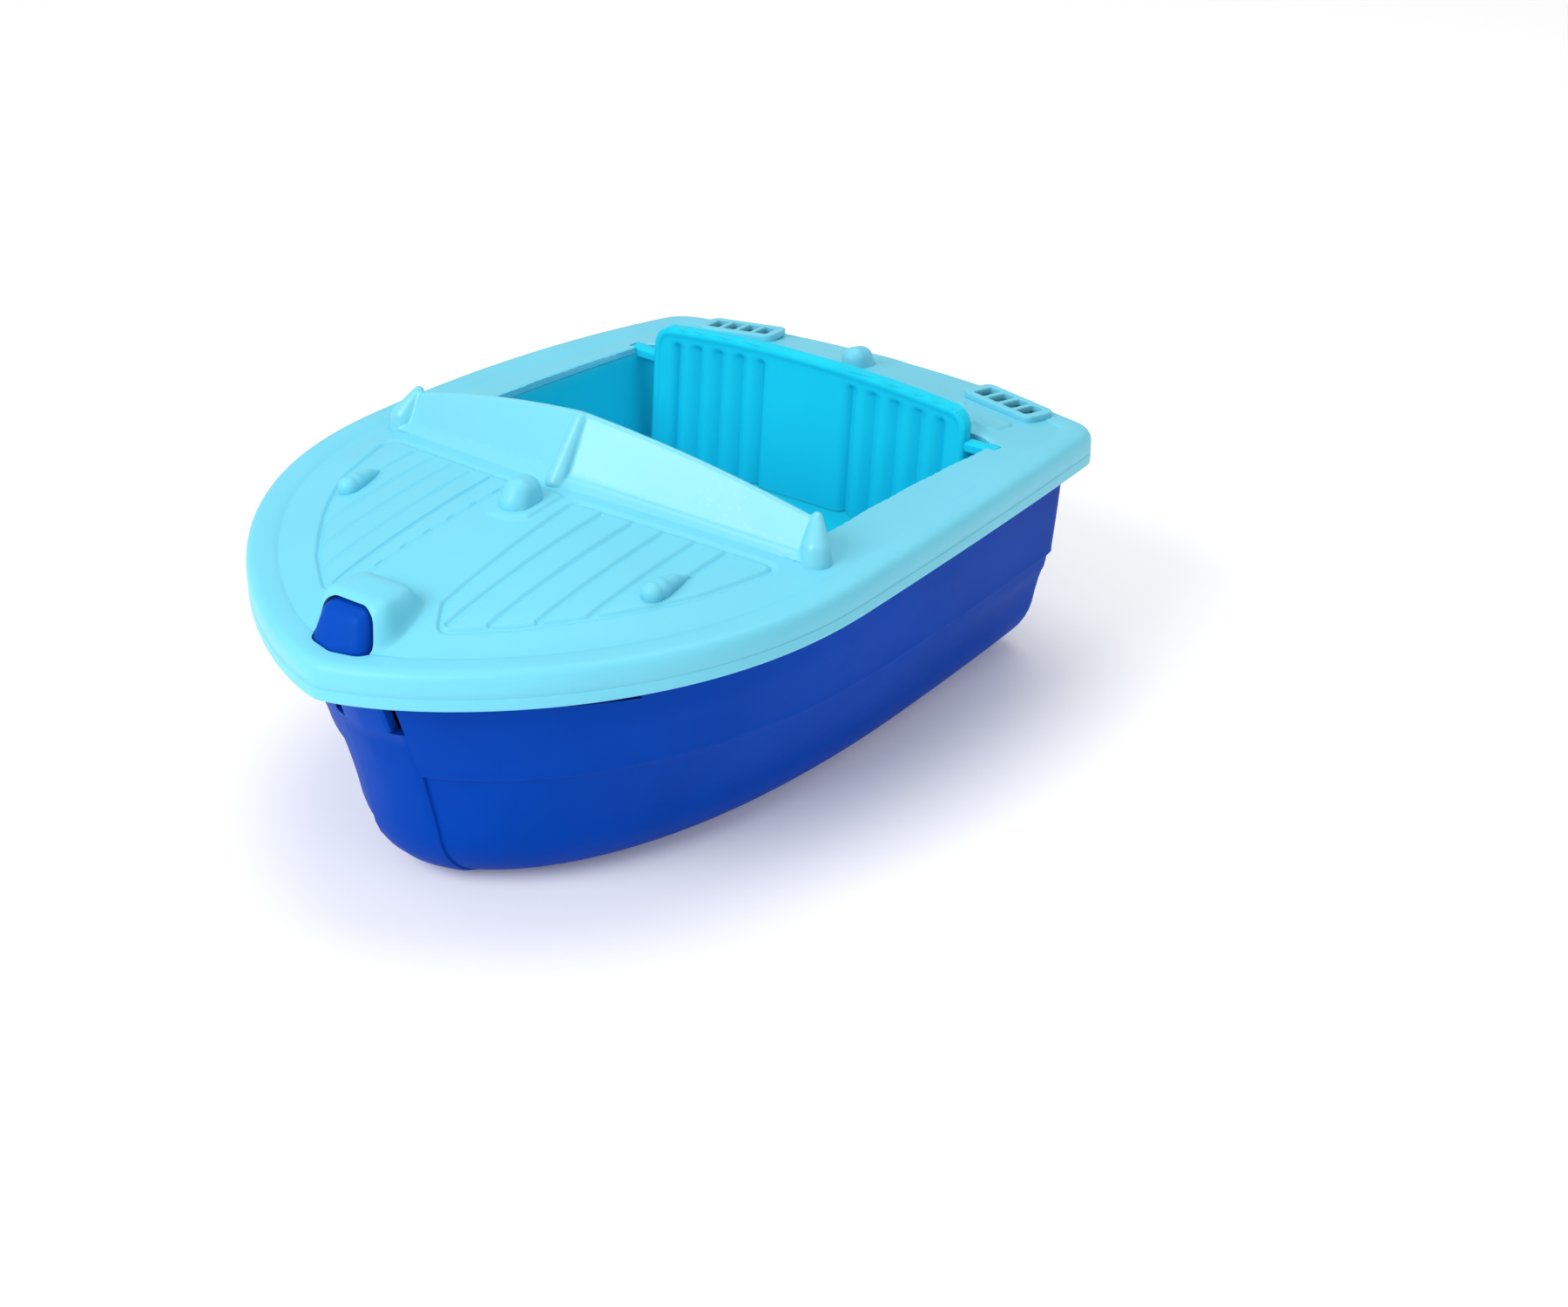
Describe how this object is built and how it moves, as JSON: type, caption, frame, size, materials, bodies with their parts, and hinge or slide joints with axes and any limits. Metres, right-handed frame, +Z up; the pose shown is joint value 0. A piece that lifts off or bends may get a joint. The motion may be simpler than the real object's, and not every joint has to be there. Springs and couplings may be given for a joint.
{
  "type": "toy boat",
  "caption": "Toy motor boat for bath or beach: round-bilged hull, overhanging deck with a deep cockpit, raked windscreen and a springy bow latch.",
  "frame": {"origin": "middle of the length and beam, on the surface that the boat stands on", "axes": "+X to the bow, +Y to port, +Z up"},
  "size_m": [0.25, 0.172, 0.1066],
  "materials": {
    "hull": "satin injection-moulded plastic, solid blue",
    "hull_light": "same blue plastic as the hull, on a thinner wall",
    "deck": "satin injection-moulded plastic, light blue",
    "deck_clear": "light blue plastic, thin enough to let some light through",
    "cockpit": "light blue plastic, seen in its own reflected light"
  },
  "bodies": {
    "boat": {"hull_shell": "hull", "deck_shell": "deck", "windscreen": "deck_clear", "cockpit_tub": "cockpit", "rear_seat": "cockpit", "vent_port": "deck", "vent_starboard": "deck", "bow_horn": "deck", "lamp_port": "deck", "lamp_starboard": "deck", "stern_knob": "deck"},
    "latch": {"bow_latch": "hull_light"}
  },
  "joints": [
    {"name": "latch_press", "type": "hinge", "parent": "boat", "child": "latch", "pos_m": [0.108, 0, 0.0522], "axis": [0, -1, 0], "range_deg": [0, 5], "stiffness_Nm_per_rad": 0.6}
  ]
}
